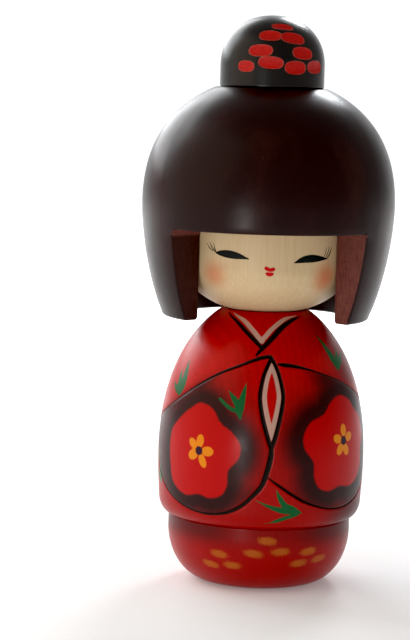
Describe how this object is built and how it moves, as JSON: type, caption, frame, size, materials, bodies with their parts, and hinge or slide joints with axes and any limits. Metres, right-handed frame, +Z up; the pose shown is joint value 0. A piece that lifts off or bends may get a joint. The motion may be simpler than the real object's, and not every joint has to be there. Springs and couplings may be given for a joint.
{
  "type": "kokeshi doll",
  "caption": "Turned wooden doll with a bored bobbed-hair cap, face ball, top bun and kimono body; the head turns on a wooden neck peg.",
  "frame": {"origin": "centre of the flat foot, on the surface the doll stands on", "axes": "+Z up along the turning axis, the face looks along -Y, +X to the viewer's right"},
  "size_m": [0.0736, 0.0736, 0.165],
  "materials": {
    "kimono_red": "red stain under clear wax, carved lines and painted flowers",
    "face_wood": "bare pale wood, waxed, painted features",
    "hair_brown": "dark brown stain, semi-gloss; window cuts show the grain",
    "bun_black": "black lacquer with gouged red petals",
    "bare_wood": "unfinished"
  },
  "bodies": {
    "body": {"kimono_body": "kimono_red"},
    "head": {"face_ball": "face_wood", "hair_cap": "hair_brown", "hair_bun": "bun_black", "neck_peg": "bare_wood", "crown_dowel": "bare_wood"}
  },
  "joints": [
    {"name": "head_turn", "type": "hinge", "parent": "body", "child": "head", "pos_m": [0, 0, 0.079], "axis": [0, 0, 1], "continuous": true}
  ]
}
